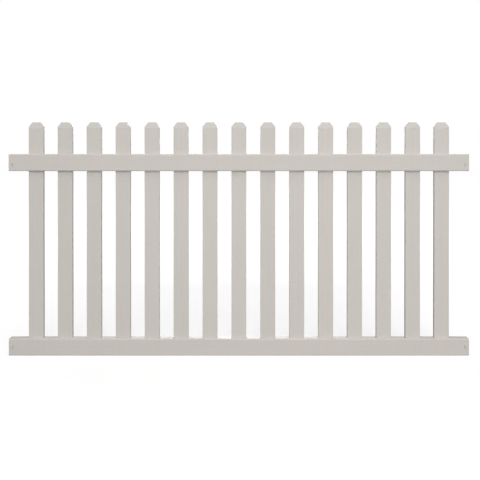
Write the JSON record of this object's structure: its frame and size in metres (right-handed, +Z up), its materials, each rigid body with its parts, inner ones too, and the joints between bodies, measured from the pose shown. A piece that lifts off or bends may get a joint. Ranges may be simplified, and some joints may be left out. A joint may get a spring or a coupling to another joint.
{
  "type": "picket fence panel",
  "caption": "Vinyl picket fence panel: hollow routed rails carry evenly spaced dog-ear pickets, and lock tabs at the rail ends hold it in routed posts.",
  "frame": {"origin": "middle of the bottom rail's underside, midway between front and back", "axes": "+X along the rails to the right as seen from the front, +Y from the front to the back, +Z up the pickets"},
  "size_m": [2.413, 0.0568, 1.2248],
  "materials": {
    "rail_vinyl": "warm pale grey extruded vinyl, satin, with faint die lines along the rail",
    "picket_vinyl": "warm pale grey extruded vinyl, satin, with faint die lines up the picket",
    "cap_vinyl": "warm pale grey moulded vinyl, satin, a shade lighter than the tubes"
  },
  "bodies": {
    "root": {"top_rail": "rail_vinyl", "bottom_rail": "rail_vinyl", "picket_01": "picket_vinyl", "picket_02": "picket_vinyl", "picket_03": "picket_vinyl", "picket_04": "picket_vinyl", "picket_05": "picket_vinyl", "picket_06": "picket_vinyl", "picket_07": "picket_vinyl", "picket_08": "picket_vinyl", "picket_09": "picket_vinyl", "picket_10": "picket_vinyl", "picket_11": "picket_vinyl", "picket_12": "picket_vinyl", "picket_13": "picket_vinyl", "picket_14": "picket_vinyl", "picket_15": "picket_vinyl", "picket_cap_01": "cap_vinyl", "picket_cap_02": "cap_vinyl", "picket_cap_03": "cap_vinyl", "picket_cap_04": "cap_vinyl", "picket_cap_05": "cap_vinyl", "picket_cap_06": "cap_vinyl", "picket_cap_07": "cap_vinyl", "picket_cap_08": "cap_vinyl", "picket_cap_09": "cap_vinyl", "picket_cap_10": "cap_vinyl", "picket_cap_11": "cap_vinyl", "picket_cap_12": "cap_vinyl", "picket_cap_13": "cap_vinyl", "picket_cap_14": "cap_vinyl", "picket_cap_15": "cap_vinyl"}
  },
  "joints": []
}
